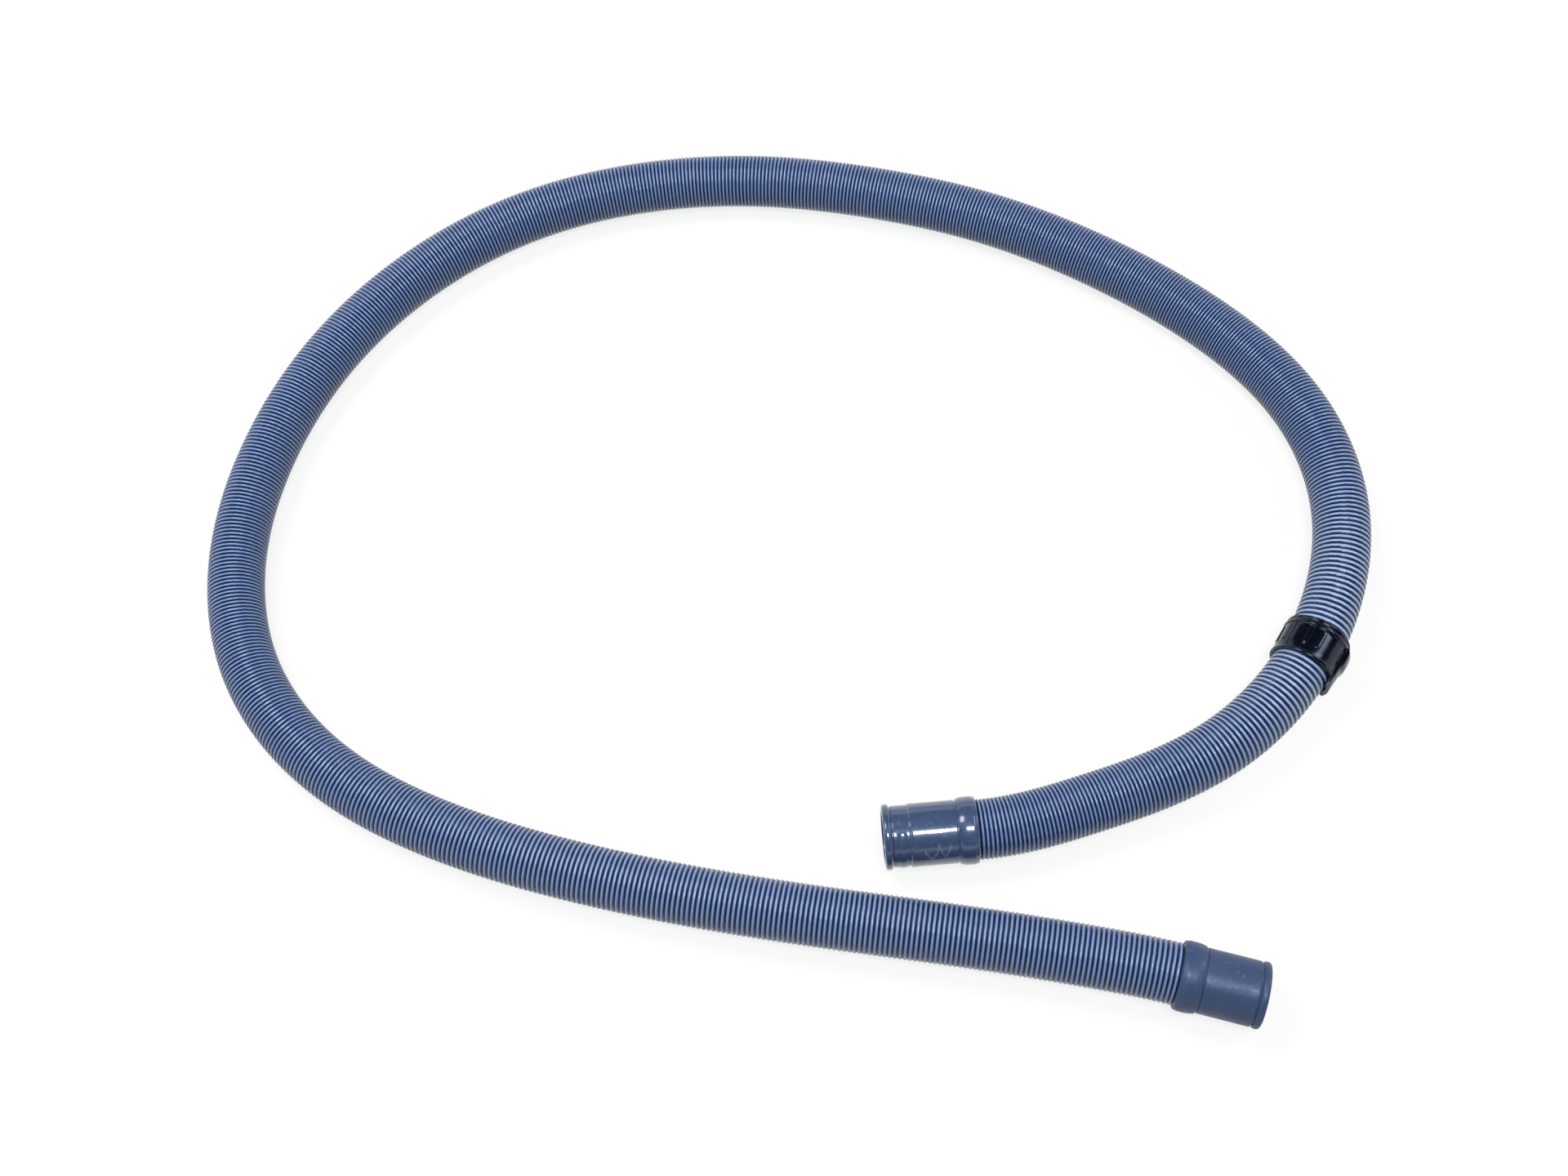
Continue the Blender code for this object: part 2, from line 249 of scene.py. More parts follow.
camera = bpy.data.objects.new("camera", bpy.data.cameras.new("camera"))
bpy.context.scene.collection.objects.link(camera)
bpy.context.scene.camera = camera
camera.data.sensor_width = SENSOR_WIDTH
camera.data.lens = SENSOR_WIDTH * FOCAL_PIXELS / PHOTO_WIDTH
camera.data.clip_start = 0.01
forward = Vector((0, math.cos(CAMERA_PITCH), -math.sin(CAMERA_PITCH)))
level_up = Vector((0, math.sin(CAMERA_PITCH), math.cos(CAMERA_PITCH)))
right = math.cos(CAMERA_ROLL) * Vector((1, 0, 0)) + math.sin(CAMERA_ROLL) * level_up
up = -math.sin(CAMERA_ROLL) * Vector((1, 0, 0)) + math.cos(CAMERA_ROLL) * level_up
turned = Matrix((right, up, -forward)).transposed().to_4x4()
camera.matrix_world = Matrix.Translation(CAMERA_PLACE) @ turned


# Materials


def srgb(text):
    """An sRGB hex colour as linear RGBA."""
    parts = [int(text[i : i + 2], 16) / 255 for i in (1, 3, 5)]
    return (*[c / 12.92 if c <= 0.04045 else ((c + 0.055) / 1.055) ** 2.4 for c in parts], 1.0)


def add_node(tree, kind, links=(), **settings):
    """Adds a node; settings are attributes, or inputs by number as in_0; links are (input, socket)."""
    node = tree.nodes.new(kind)
    for name, value in settings.items():
        if name.startswith("in_"):
            node.inputs[int(name[3:])].default_value = value
        else:
            setattr(node, name, value)
    for where, socket in links:
        tree.links.new(socket, node.inputs[where])
    return node


def new_finish(name):
    """(material, its node tree, its shader)"""
    made = bpy.data.materials.new(name)
    made.use_nodes = True
    tree = made.node_tree
    return made, tree, tree.nodes["Principled BSDF"]


def blend_colours(tree, factor, first, second):
    """Mixes two colours, each an RGBA tuple or a socket, by a factor socket or number."""
    mix = add_node(tree, "ShaderNodeMix", data_type="RGBA")
    for index, value in ((0, factor), (6, first), (7, second)):
        if isinstance(value, bpy.types.NodeSocket):
            tree.links.new(value, mix.inputs[index])
        else:
            mix.inputs[index].default_value = value
    return mix.outputs[2]


def blown_polypropylene():
    """Blown polypropylene hose: satin pigment with a blue cast, with painted shade darkening the ribs'
    flanks, the grooves and the bore, and a painted highlight paling the wall where the ribs stand further
    apart.
    """
    made, tree, shader = new_finish("blown polypropylene")
    place = add_node(tree, "ShaderNodeTexCoord").outputs["Object"]
    groove = add_node(tree, "ShaderNodeAttribute", attribute_name="groove").outputs["Fac"]
    # pigment drifts over a few centimetres, as the melt does
    drift = add_node(tree, "ShaderNodeTexNoise", [(0, place)], in_2=35.0, in_3=2.0)
    crest = blend_colours(tree, drift.outputs[0], srgb("#6883b8"), srgb("#7995c6"))
    # painted highlight: the wall is painted paler where the ribs are drawn out, near the clip, standing in
    # for the brighter light that falls there
    drawn = add_node(tree, "ShaderNodeAttribute", attribute_name="drawn").outputs["Fac"]
    crest = blend_colours(tree, drawn, crest, srgb("#9db4dd"))
    # handling marks, a millimetre or two wide
    marks = add_node(tree, "ShaderNodeTexNoise", [(0, place)], in_2=900.0, in_3=3.0)
    rubbed = add_node(tree, "ShaderNodeMapRange", [(0, marks.outputs[0])], in_1=0.62, in_2=0.78)
    crest = blend_colours(tree, rubbed.outputs[0], crest, srgb("#96abd2"))
    # painted shade: the flanks are painted a darker blue over the crest colour and its rub marks, standing
    # in for the light falling off down each rib's slope, so that each crest reads as a pale line
    painted_flank_shade = add_node(tree, "ShaderNodeMapRange", [(0, groove)], in_1=0.05, in_2=0.3)
    colour = blend_colours(tree, painted_flank_shade.outputs[0], crest, srgb("#385589"))
    # painted shade: deep in the grooves the colour is painted almost black, standing in for the shadow
    # between the ribs
    dark = add_node(tree, "ShaderNodeMapRange", [(0, groove)], in_1=0.2, in_2=0.48)
    colour = blend_colours(tree, dark.outputs[0], colour, srgb("#0a1833"))
    tree.links.new(colour, shader.inputs["Base Color"])
    shader.inputs["IOR"].default_value = 1.49
    shader.inputs["Specular Tint"].default_value = srgb(GLINT)
    rough = add_node(tree, "ShaderNodeMapRange", [(0, marks.outputs[0])], in_3=0.24, in_4=0.34)
    # the grooves keep their dust, so they are duller than the crests
    dull = add_node(
        tree,
        "ShaderNodeMath",
        [(0, dark.outputs[0]), (2, rough.outputs[0])],
        operation="MULTIPLY_ADD",
        in_1=0.3,
    )
    tree.links.new(dull.outputs[0], shader.inputs["Roughness"])
    # the smooth skin that blowing leaves
    shader.inputs["Coat Weight"].default_value = 0.5
    shader.inputs["Coat Roughness"].default_value = 0.24
    shader.inputs["Coat IOR"].default_value = 1.5
    # the ribs waver by a few degrees round the hose, over about 4 mm
    waver = add_node(tree, "ShaderNodeTexNoise", [(0, place)], in_2=260.0, in_3=1.0)
    bump = add_node(tree, "ShaderNodeBump", [("Height", waver.outputs[0])], in_0=0.7, in_1=0.0006)
    tree.links.new(bump.outputs[0], shader.inputs["Normal"])
    tree.links.new(bump.outputs[0], shader.inputs["Coat Normal"])
    return made


def moulded_rubber(name, smoothest, roughest, waviness, scratches, skin):
    """Moulded thermoplastic rubber: dark blue grey, with soft sink waves and pale rub marks. Roughness
    runs from smoothest to roughest, and skin is the weight of the gloss that the mould leaves."""
    made, tree, shader = new_finish(name)
    place = add_node(tree, "ShaderNodeTexCoord").outputs["Object"]
    drift = add_node(tree, "ShaderNodeTexNoise", [(0, place)], in_2=70.0, in_3=3.0)
    base = blend_colours(tree, drift.outputs[0], srgb("#364666"), srgb("#3f5173"))
    # soft rub marks, about 1 mm wide
    rub = add_node(tree, "ShaderNodeTexNoise", [(0, place)], in_2=420.0, in_3=4.0, in_8=1.2)
    mask = add_node(tree, "ShaderNodeMapRange", [(0, rub.outputs[0])], in_1=0.6, in_2=0.8, in_4=0.22)
    colour = blend_colours(tree, mask.outputs[0], base, srgb("#8291ae"))
    wrap = add_node(tree, "ShaderNodeAttribute", attribute_name="wrap").outputs["Vector"]
    for scratch in scratches:
        colour = blend_colours(tree, zigzag(tree, wrap, **scratch), colour, srgb("#a2adc0"))
    tree.links.new(colour, shader.inputs["Base Color"])
    shader.inputs["IOR"].default_value = 1.5
    shader.inputs["Specular Tint"].default_value = srgb(GLINT)
    rough = add_node(
        tree, "ShaderNodeMapRange", [(0, rub.outputs[0])], in_1=0.3, in_2=0.7, in_3=smoothest, in_4=roughest
    )
    tree.links.new(rough.outputs[0], shader.inputs["Roughness"])
    # the closed skin that a polished mould leaves over the duller rubber
    shader.inputs["Coat Weight"].default_value = skin
    shader.inputs["Coat Roughness"].default_value = 0.08
    shader.inputs["Coat IOR"].default_value = 1.5
    # shrink waves of the wall, 4 mm apart, and the fine grain of the mould, 0.3 mm
    waves = add_node(tree, "ShaderNodeTexNoise", [(0, place)], in_2=240.0, in_3=1.0)
    wavy = add_node(tree, "ShaderNodeBump", [("Height", waves.outputs[0])], in_0=waviness, in_1=0.0006)
    grain = add_node(tree, "ShaderNodeTexNoise", [(0, place)], in_2=3300.0, in_3=2.0)
    bump = add_node(
        tree,
        "ShaderNodeBump",
        [("Height", grain.outputs[0]), ("Normal", wavy.outputs[0])],
        in_0=0.02,
        in_1=0.0002,
    )
    tree.links.new(bump.outputs[0], shader.inputs["Normal"])
    tree.links.new(bump.outputs[0], shader.inputs["Coat Normal"])
    return made


def zigzag(tree, wrap, along, around, stride, swing, width, strength):
    """A mask for one rubbed zigzag line on a cuff, in metres: between the two places along, it starts at
    around and swings round the cuff by swing and back with each two strides."""
    parts = add_node(tree, "ShaderNodeSeparateXYZ", [(0, wrap)])
    shaky = add_node(tree, "ShaderNodeTexNoise", [(0, wrap)], in_2=700.0, in_3=3.0)
    # how far round the line has swung at this place along
    past = add_node(tree, "ShaderNodeMath", [(0, parts.outputs[0])], operation="SUBTRACT", in_1=along[0])
    swung = add_node(tree, "ShaderNodeMath", [(0, past.outputs[0])], operation="PINGPONG", in_1=stride)
    line = add_node(
        tree,
        "ShaderNodeMath",
        [(0, swung.outputs[0])],
        operation="MULTIPLY_ADD",
        in_1=swing / stride,
        in_2=around,
    )
    off = add_node(
        tree, "ShaderNodeMath", [(0, parts.outputs[1]), (1, line.outputs[0])], operation="SUBTRACT"
    )
    off = add_node(tree, "ShaderNodeMath", [(0, off.outputs[0])], operation="ABSOLUTE")
    near = add_node(
        tree, "ShaderNodeMapRange", [(0, off.outputs[0])], in_1=0.0, in_2=width, in_3=strength, in_4=0.0
    )
    within = add_node(
        tree,
        "ShaderNodeMath",
        [(0, parts.outputs[0])],
        operation="COMPARE",
        in_1=sum(along) / 2,
        in_2=(along[1] - along[0]) / 2,
    )
    worn = add_node(tree, "ShaderNodeMapRange", [(0, shaky.outputs[0])], in_1=0.3, in_2=0.6)
    mask = add_node(
        tree, "ShaderNodeMath", [(0, near.outputs[0]), (1, within.outputs[0])], operation="MULTIPLY"
    )
    return add_node(
        tree, "ShaderNodeMath", [(0, mask.outputs[0]), (1, worn.outputs[0])], operation="MULTIPLY"
    ).outputs[0]


def polished_black_nylon():
    """Black nylon moulded in a polished tool: glossy, with faint flow marks."""
    made, tree, shader = new_finish("polished black nylon")
    place = add_node(tree, "ShaderNodeTexCoord").outputs["Object"]
    flow = add_node(tree, "ShaderNodeTexNoise", [(0, place)], in_2=160.0, in_3=3.0)
    colour = blend_colours(tree, flow.outputs[0], srgb("#02040a"), srgb("#060c1a"))
    tree.links.new(colour, shader.inputs["Base Color"])
    shader.inputs["IOR"].default_value = 1.53
    shader.inputs["Specular Tint"].default_value = srgb(GLINT)
    rough = add_node(tree, "ShaderNodeMapRange", [(0, flow.outputs[0])], in_3=0.12, in_4=0.24)
    tree.links.new(rough.outputs[0], shader.inputs["Roughness"])
    bump = add_node(tree, "ShaderNodeBump", [("Height", flow.outputs[0])], in_0=0.15, in_1=0.0004)
    tree.links.new(bump.outputs[0], shader.inputs["Normal"])
    return made


hose_finish = blown_polypropylene()
# places round a cuff are counted from its underside, on the barrel: 61 mm is its front
polished_cuff_finish = moulded_rubber(
    "rubber from a polished mould",
    smoothest=0.26,
    roughest=0.38,
    waviness=0.1,
    scratches=[
        {"along": (16 * MM, 21.5 * MM), "around": 52.5 * MM, "stride": 2.8 * MM, "swing": 4.5 * MM,
         "width": 1.7 * MM, "strength": 0.5},
        {"along": (21.5 * MM, 27 * MM), "around": 49.5 * MM, "stride": 2.9 * MM, "swing": 7 * MM,
         "width": 1.4 * MM, "strength": 0.45},
    ],
    skin=0.9,
)
matt_cuff_finish = moulded_rubber(
    "rubber worn matt",
    smoothest=0.34,
    roughest=0.5,
    waviness=0.3,
    scratches=[
        {"along": (10.4 * MM, 11.6 * MM), "around": 42 * MM, "stride": 0.6 * MM, "swing": 1.4 * MM,
         "width": 0.3 * MM, "strength": 0.6},
    ],
    skin=0.0,
)
clip_finish = polished_black_nylon()


# Hose


def rib_places():
    """The lengths along the hose at which ribs start."""
    wanted = np.array(RIB_PITCHES) * MM
    wanted[:, 0] += SEAT_DEPTH
    places = [0.0]
    while places[-1] < hose_length:
        places.append(places[-1] + float(np.interp(places[-1], wanted[:, 0], wanted[:, 1])))
    return np.array(places) * hose_length / places[-1]


def hose_rings():
    """(along, radius, groove, drawn) for each ring of corners, out along the ribs and back down the bore.
    groove is how deep a ring lies between two ribs, and drawn how far its rib is drawn out, both 0 to 1."""
    places = rib_places()
    along, radius, groove, drawn = [], [], [], []
    for start, end in zip(places, places[1:]):
        for share, depth in RIB_PROFILE:
            along.append(start + share * (end - start))
            radius.append(HOSE_RADIUS - depth * RIB_DEPTH)
            groove.append(depth)
            drawn.append(min(1.0, max(0.0, (end - start - PAINTED_HIGHLIGHT_FROM) / PAINTED_HIGHLIGHT_OVER)))
    along.append(hose_length)
    radius.append(HOSE_RADIUS - RIB_DEPTH * RIB_PROFILE[0][1])
    groove.append(RIB_PROFILE[0][1])
    inner = np.linspace(hose_length, 0, round(hose_length / BORE_RING_SPACING))
    along = np.array(along + list(inner))
    radius = np.array(radius + [HOSE_BORE_RADIUS] * len(inner))
    # at half depth the bore takes the grooves' darkest painted shade
    groove = np.array(groove + [0.5] * len(inner))
    drawn = np.array(drawn + [0.0] * (1 + len(inner)))
    return along, radius, groove, drawn


def make_hose():
    """The ribbed hose with its bore, open at both ends."""
    along, radius, groove, drawn = hose_rings()
    points, _, left, upward = frames_on_hose(along)
    angles = np.linspace(0, math.tau, HOSE_SIDES, endpoint=False)
    ring = np.cos(angles)[None, :, None] * left[:, None] + np.sin(angles)[None, :, None] * upward[:, None]
    verts = points[:, None] + radius[:, None, None] * ring
    rows = len(along)
    row = np.arange(rows)[:, None]
    side = np.arange(HOSE_SIDES)[None, :]
    following = (side + 1) % HOSE_SIDES
    after = (row + 1) % rows
    faces = np.stack(
        np.broadcast_arrays(
            row * HOSE_SIDES + side,
            row * HOSE_SIDES + following,
            after * HOSE_SIDES + following,
            after * HOSE_SIDES + side,
        ),
        axis=-1,
    ).reshape(-1, 4)
    mesh = bpy.data.meshes.new("corrugated_hose")
    mesh.from_pydata(verts.reshape(-1, 3).tolist(), [], faces.tolist())
    for name, values in (("groove", groove), ("drawn", drawn)):
        mesh.attributes.new(name, "FLOAT", "POINT").data.foreach_set(
            "value", np.repeat(values, HOSE_SIDES).astype(np.float32)
        )
    # the light breaks where two ribs meet
    ends = np.empty(2 * len(mesh.edges), dtype=int)
    mesh.edges.foreach_get("vertices", ends)
    rows_met = ends.reshape(-1, 2) // HOSE_SIDES
    creased = (rows_met[:, 0] == rows_met[:, 1]) & (groove[rows_met[:, 0]] == 1)
    mesh.attributes.new("sharp_edge", "BOOLEAN", "EDGE").data.foreach_set("value", creased)
    mesh.materials.append(hose_finish)
    mesh.shade_smooth()
    hose = bpy.data.objects.new("corrugated_hose", mesh)
    bpy.context.scene.collection.objects.link(hose)
    bpy.context.view_layer.objects.active = hose
    hose.select_set(True)
    bpy.ops.object.mode_set(mode="EDIT")
    bpy.ops.mesh.select_all(action="SELECT")
    bpy.ops.mesh.normals_make_consistent(inside=False)
    bpy.ops.object.mode_set(mode="OBJECT")
    hose.select_set(False)
    return hose


corrugated_hose = make_hose()
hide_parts("drain_hose")
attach(corrugated_hose, "root")


# Cuffs and clip


def arc(along, radius, size, first, last, steps):
    """Points of an outline on a small arc; angles in degrees from straight out towards the far end."""
    turns = [math.radians(first + (last - first) * i / steps) for i in range(steps + 1)]
    return [(along + size * math.sin(turn), radius + size * math.cos(turn)) for turn in turns]


def turn_ring(name, outline):
    """A closed ring round +Z, drawn out ring by ring from a circle along an outline of (along, radius)."""
    along, radius = outline[0]
    bpy.ops.mesh.primitive_circle_add(vertices=TURNED_SIDES, radius=radius, location=(0, 0, along))
    piece = bpy.context.object
    piece.name = piece.data.name = name
    bpy.ops.object.transform_apply(location=True, rotation=False, scale=False)
    bpy.ops.object.mode_set(mode="EDIT")
    bpy.ops.mesh.select_mode(type="EDGE")
    bpy.ops.mesh.select_all(action="SELECT")
    for next_along, next_radius in outline[1:]:
        bpy.ops.mesh.extrude_edges_move(TRANSFORM_OT_translate={"value": (0, 0, next_along - along)})
        grow = next_radius / radius
        bpy.ops.transform.resize(value=(grow, grow, 1), center_override=(0, 0, next_along))
        along, radius = next_along, next_radius
    bpy.ops.mesh.select_all(action="DESELECT")
    bpy.ops.mesh.select_non_manifold()
    bpy.ops.mesh.bridge_edge_loops()
    bpy.ops.mesh.select_all(action="SELECT")
    bpy.ops.mesh.normals_make_consistent(inside=False)
    bpy.ops.object.mode_set(mode="OBJECT")
    return piece


def angle_of(point):
    """Degrees round the piece's own +Z, from its +X."""
    return math.degrees(math.atan2(point.y, point.x)) % 360


def select_faces(piece, wanted):
    """Enters edit mode with just the faces selected whose centre and normal are wanted."""
    bpy.ops.object.mode_set(mode="EDIT")
    bpy.ops.mesh.select_mode(type="FACE")
    bpy.ops.mesh.select_all(action="DESELECT")
    bpy.ops.object.mode_set(mode="OBJECT")
    for face in piece.data.polygons:
        face.select = wanted(face.center, face.normal)
    bpy.ops.object.mode_set(mode="EDIT")


def faces_outward(centre, normal):
    """Whether a face looks away from the piece's own +Z, and not along it or inwards."""
    return normal.x * centre.x + normal.y * centre.y > 0.5 * math.hypot(centre.x, centre.y)


def raise_bar(piece, low, high, start, end, rise):
    """Raises the outer faces between two heights and two angles."""

    def on_bar(centre, normal):
        return low < centre.z < high and start < angle_of(centre) < end and faces_outward(centre, normal)

    select_faces(piece, on_bar)
    bpy.ops.mesh.extrude_region_shrink_fatten(TRANSFORM_OT_shrink_fatten={"value": rise})
    bpy.ops.object.mode_set(mode="OBJECT")


def soften(piece, width):
    """Rounds the piece's sharp edges and shades the rest smooth."""
    edges = piece.modifiers.new("soft edges", "BEVEL")
    edges.width = width
    edges.segments = 2
    edges.limit_method = "ANGLE"
    edges.angle_limit = ROUNDED_FROM
    bpy.ops.object.modifier_apply(modifier=edges.name)
    bpy.ops.object.shade_smooth_by_angle(angle=SMOOTH_UP_TO)


def record_wrap(piece):
    """Keeps where each corner is along and round the piece, in metres, for patterns that follow it."""
    mesh = piece.data
    corners = np.empty(len(mesh.vertices) * 3)
    mesh.vertices.foreach_get("co", corners)
    places = corners.reshape(-1, 3)
    corner_verts = np.empty(len(mesh.loops), dtype=int)
    mesh.loops.foreach_get("vertex_index", corner_verts)
    at = places[corner_verts]
    # counted from the underside, so that the join is out of sight
    turn = (np.arctan2(at[:, 1], at[:, 0]) + math.pi / 2) % math.tau
    for face in mesh.polygons:
        span = slice(face.loop_start, face.loop_start + face.loop_total)
        if np.ptp(turn[span]) > math.pi:
            turn[span] = np.where(turn[span] < math.pi, turn[span] + math.tau, turn[span])
    wrap = np.stack([at[:, 2], turn * BARREL_RADIUS, np.hypot(at[:, 0], at[:, 1])], axis=1)
    mesh.attributes.new("wrap", "FLOAT_VECTOR", "CORNER").data.foreach_set("vector", wrap.ravel())


def stand(piece, place, direction):
    """Puts the piece's +Z along a direction from a place, with its +Y as near to up as it goes."""
    piece.rotation_euler = Vector(direction).to_track_quat("Z", "Y").to_euler()
    piece.location = place
    bpy.ops.object.transform_apply(location=True, rotation=True, scale=False)


def finish_piece(piece, finish, node):
    """Gives the piece its material and puts it in place of its CAD node."""
    piece.data.materials.append(finish)
    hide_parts(node)
    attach(piece, "root")
    piece.select_set(False)


def cuff_outline(length, collar_length, banded):
    """A cuff's section: round its mouth, along the outside to the hose's lip, and back down the bore."""
    foot = length - collar_length
    bead = BEAD_RADIUS if banded else PLAIN_BEAD_RADIUS
    seam = BARREL_RADIUS - (SEAM_DEPTH if banded else PLAIN_SEAM_DEPTH)
    outline = arc(MOUTH_ROUND, CUFF_BORE_RADIUS + MOUTH_ROUND, MOUTH_ROUND, 180, 270, 3)
    outline += arc(BEAD_ROUND, bead - BEAD_ROUND, BEAD_ROUND, -75, 0, 5)
    outline += arc(BEAD_WIDTH - BEAD_ROUND, bead - BEAD_ROUND, BEAD_ROUND, 0, 75, 5)
    outline += [(BEAD_WIDTH, seam), (BAND_START - 0.15 * MM, seam)]
    if banded:
        bar_start = (BAND_START + BAND_END - BAR_WIDTH) / 2
        outline += [
            (BAND_START, BAND_RADIUS),
            (BAND_START + 0.5 * MM, BAND_RADIUS),
            (bar_start, BAND_RADIUS),
            (bar_start + BAR_WIDTH, BAND_RADIUS),
            (BAND_END - 1.1 * MM, BAND_RADIUS),
            (BAND_END - 0.6 * MM, BAND_RADIUS),
            (BAND_END - 0.2 * MM, BARREL_RADIUS + LINE_RISE),
            (BAND_END + 0.1 * MM, BARREL_RADIUS + LINE_RISE),
            (BAND_END + 0.35 * MM, BARREL_RADIUS),
            (BAND_END + 0.8 * MM, BARREL_RADIUS),
        ]
    else:
        outline += [(BAND_START + 0.1 * MM, BARREL_RADIUS), (BAND_START + 0.6 * MM, BARREL_RADIUS)]
    outline += [
        (foot - 1.2 * MM, BARREL_RADIUS),
        (foot - 0.7 * MM, BARREL_RADIUS),
        (foot - 0.6 * MM, NECK_RADIUS),
        (foot - 0.1 * MM, NECK_RADIUS),
        (foot, BARREL_RADIUS + 0.3 * MM),
        (foot + 1.0 * MM, COLLAR_RADIUS - 0.38 * MM),
        (foot + 2.2 * MM, COLLAR_RADIUS - 0.14 * MM),
        (foot + 3.4 * MM, COLLAR_RADIUS - 0.03 * MM),
        (length - 3.6 * MM, COLLAR_RADIUS),
        (length - 2.2 * MM, COLLAR_RADIUS),
        # the fine step where the lip's rolled edge starts
        (length - 1.8 * MM, COLLAR_RADIUS - 0.02 * MM),
        (length - 1.65 * MM, COLLAR_RADIUS - 0.2 * MM),
    ]
    outline += arc(length - LIP_ROUND, COLLAR_RADIUS - 1.32 * MM, LIP_ROUND, 12, 84, 5)
    shoulder = length - SEAT_DEPTH - SEAT_GAP
    outline += [(length, HOSE_RADIUS + LIP_GAP), (length - 0.8 * MM, COLLAR_BORE_RADIUS)]
    outline += [(shoulder, COLLAR_BORE_RADIUS), (shoulder, CUFF_BORE_RADIUS)]
    return outline


def make_cuff(name, node, lip, into_hose, length, collar_length, finish, banded):
    """A cuff whose lip is at a place on the hose, with its mouth turned away from into_hose."""
    cuff = turn_ring(name, cuff_outline(length, collar_length, banded))
    if banded:
        middle = (BAND_START + BAND_END) / 2
        raise_bar(cuff, middle - BAR_WIDTH / 2, middle + BAR_WIDTH / 2, *BAR_ANGLES, BAR_RISE)
    soften(cuff, CUFF_SOFTNESS)
    record_wrap(cuff)
    stand(cuff, lip - length * into_hose, into_hose)
    finish_piece(cuff, finish, node)
    return cuff


def raise_latch(clip):
    """Draws the latch out of the band's outer side, then its tail out past the near rim."""
    start, end = LATCH_ANGLES
    near, far = LATCH_REACH

    def on_latch(centre, normal):
        outside = math.hypot(centre.x, centre.y) > LATCH_FROM
        return near < centre.z < far and start < angle_of(centre) < end and outside

    select_faces(clip, on_latch)
    # lifted a little first, then each corner goes out to the latch's back
    bpy.ops.mesh.extrude_region_shrink_fatten(TRANSFORM_OT_shrink_fatten={"value": 0.2 * MM})
    bpy.ops.object.mode_set(mode="OBJECT")
    backs = np.array(LATCH_BACK) * MM
    raised = [vert.index for vert in clip.data.vertices if vert.select]
    for index in raised:
        vert = clip.data.vertices[index].co
        grow = float(np.interp(vert.z, backs[:, 0], backs[:, 1])) / math.hypot(vert.x, vert.y)
        vert.x *= grow
        vert.y *= grow

    def on_tail(centre, normal):
        outside = math.hypot(centre.x, centre.y) > TAIL_FROM
        at_end = normal.z < -0.4 and centre.z < TAIL_START
        return at_end and start < angle_of(centre) < end and outside

    select_faces(clip, on_tail)
    bpy.ops.mesh.extrude_region_move(TRANSFORM_OT_translate={"value": (0, 0, -TAIL_LENGTH)})
    bpy.ops.transform.resize(value=(TAIL_TAPER, TAIL_TAPER, 1), center_override=(0, 0, 0))
    bpy.ops.object.mode_set(mode="OBJECT")


def make_clip(finish):
    """The clip band with its grip bars and latch, round the hose."""
    half = CLIP_LENGTH / 2
    outline = [(along * MM, radius * MM) for along, radius in CLIP_OUTSIDE]
    outline += [(half, CLIP_BORE_RADIUS), (-half, CLIP_BORE_RADIUS)]
    clip = turn_ring("snap_clip", outline)
    step = 360 / TURNED_SIDES
    for i in range(GRIP_BARS):
        # each bar is two faces wide, with four between it and the next
        start = step * (1 + 6 * i)
        raise_bar(clip, -GRIP_BAR_REACH, GRIP_BAR_REACH, start, start + 2 * step, GRIP_BAR_RISE)
    raise_latch(clip)
    soften(clip, CLIP_SOFTNESS)
    place = SEAT_DEPTH + CLIP_PLACE
    near, middle, far = on_hose(np.array([place - CLIP_SPAN / 2, place, place + CLIP_SPAN / 2]))
    # the band sits between the hose's curve and its chord, clear of both
    stand(clip, (near + far) / 6 + middle * 2 / 3, far - near)
    finish_piece(clip, finish, "hose_clip")
    return clip


banded_cuff = make_cuff(
    "banded_cuff",
    "cuff_with_band",
    hose_line[1],
    heading(START_HEADING),
    CUFF_LENGTH,
    COLLAR_LENGTH,
    polished_cuff_finish,
    banded=True,
)
plain_cuff = make_cuff(
    "plain_cuff",
    "cuff_plain",
    hose_line[-2],
    -heading(END_HEADING),
    PLAIN_CUFF_LENGTH,
    PLAIN_COLLAR_LENGTH,
    matt_cuff_finish,
    banded=False,
)
snap_clip = make_clip(clip_finish)


# Floor and light


def seen_directly(tree):
    """1 for what the camera sees, straight, mirrored or through something; 0 for light on the object."""
    path = add_node(tree, "ShaderNodeLightPath").outputs
    seen = add_node(
        tree,
        "ShaderNodeMath",
        [(0, path["Is Camera Ray"]), (1, path["Is Glossy Ray"])],
        operation="MAXIMUM",
    )
    return add_node(
        tree,
        "ShaderNodeMath",
        [(0, seen.outputs[0]), (1, path["Is Transmission Ray"])],
        operation="MAXIMUM",
    ).outputs[0]


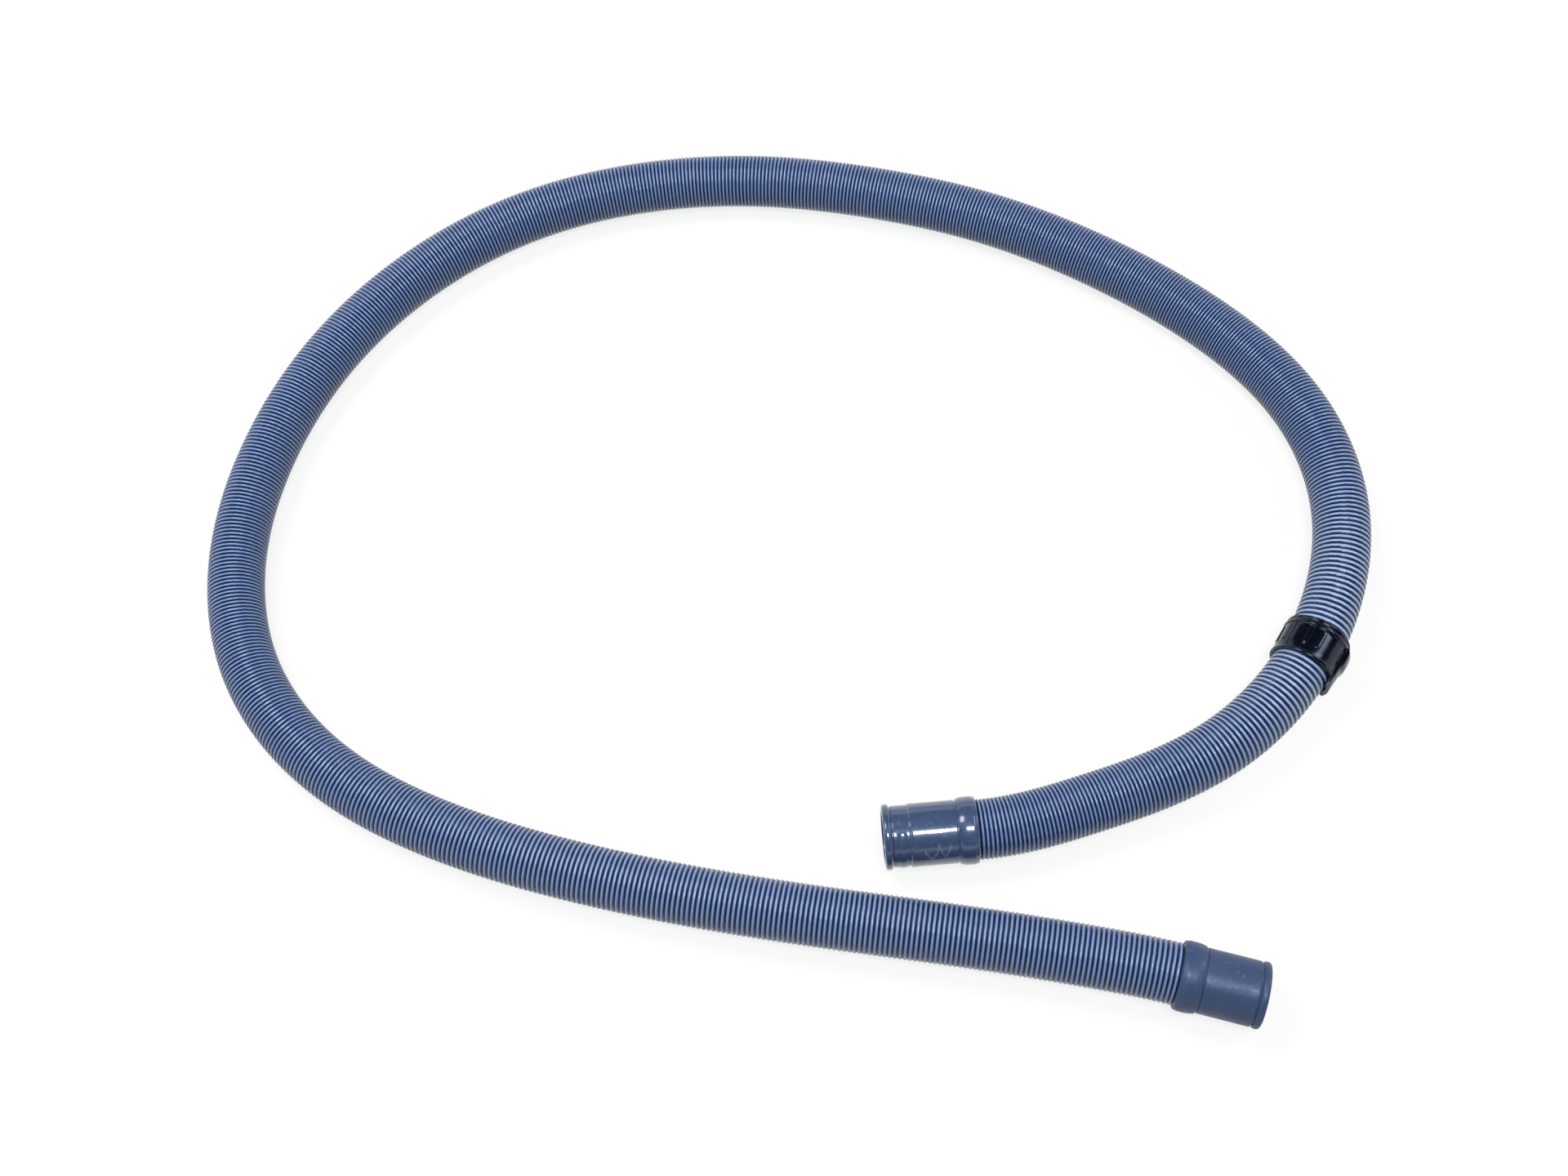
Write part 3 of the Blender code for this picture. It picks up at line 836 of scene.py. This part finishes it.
def make_floor():
    """Grey paper that the camera sees as white, with the object's shadow on it; it ends unseen."""
    bpy.ops.mesh.primitive_plane_add(size=FLOOR_SIZE, location=(0, 0, 0))
    floor = bpy.context.object
    floor.name = "floor"
    made, tree, shader = new_finish("pale paper floor")
    shader.inputs["Base Color"].default_value = srgb("#707070")
    shader.inputs["Roughness"].default_value = 0.9
    shader.inputs["Specular IOR Level"].default_value = 0.0
    shader.inputs["Emission Color"].default_value = (1, 1, 1, 1)
    place = add_node(tree, "ShaderNodeTexCoord").outputs["Object"]
    away = add_node(tree, "ShaderNodeVectorMath", [(0, place)], operation="LENGTH").outputs["Value"]
    near, far = FLOOR_FADE
    white = add_node(
        tree, "ShaderNodeMapRange", [(0, away)], in_1=near, in_2=far, in_3=FLOOR_SEEN, in_4=1.0
    )
    lift = add_node(
        tree, "ShaderNodeMath", [(0, white.outputs[0]), (1, seen_directly(tree))], operation="MULTIPLY"
    )
    tree.links.new(lift.outputs[0], shader.inputs["Emission Strength"])
    floor.data.materials.append(made)
    floor.select_set(False)
    return floor


make_floor()


def make_world():
    """A dim room that the camera and mirrors see as white low down, where the floor ends."""
    world = bpy.data.worlds.new("studio")
    world.use_nodes = True
    tree = world.node_tree
    look = add_node(tree, "ShaderNodeTexCoord").outputs["Generated"]
    height = add_node(tree, "ShaderNodeSeparateXYZ", [(0, look)]).outputs[2]
    bottom, top = ROOM_LOW
    low = add_node(
        tree, "ShaderNodeMapRange", [(0, height)], in_1=bottom, in_2=top, in_3=1.0, in_4=0.0
    )
    white = add_node(
        tree, "ShaderNodeMath", [(0, low.outputs[0]), (1, seen_directly(tree))], operation="MULTIPLY"
    )
    strength = add_node(tree, "ShaderNodeMapRange", [(0, white.outputs[0])], in_3=ROOM_LIGHT, in_4=1.0)
    tree.links.new(strength.outputs[0], tree.nodes["Background"].inputs["Strength"])
    tree.nodes["Background"].inputs["Color"].default_value = (1, 1, 1, 1)
    return world


bpy.context.scene.world = make_world()
bpy.context.scene.view_settings.view_transform = "Standard"


def add_lamp(name, place, size, level):
    """A soft box that faces the middle of the loop, its width as near to +X as that allows; at level 1
    it alone would light white as white."""
    lamp = bpy.data.lights.new(name, "AREA")
    lamp.shape = "RECTANGLE"
    lamp.size, lamp.size_y = size
    lamp.energy = level * (math.pi * Vector(place).length) ** 2
    made = bpy.data.objects.new(name, lamp)
    back = Vector(place).normalized()
    tall = back.cross((1, 0, 0)).normalized()
    turned = Matrix((tall.cross(back), tall, back)).transposed().to_4x4()
    made.matrix_world = Matrix.Translation(place) @ turned
    bpy.context.scene.collection.objects.link(made)


add_lamp("ceiling panel", (0.12, -0.42, 1.45), (0.5, 0.3), 0.58)
add_lamp("ceiling panel on the left", (-0.5, 0.45, 1.3), (0.6, 0.5), 0.5)
add_lamp("ceiling panel on the right", (1.1, 0.25, 0.9), (0.4, 0.6), 0.25)
add_lamp("window on the left", (-1.4, 0.3, 0.8), (0.7, 0.9), 0.2)
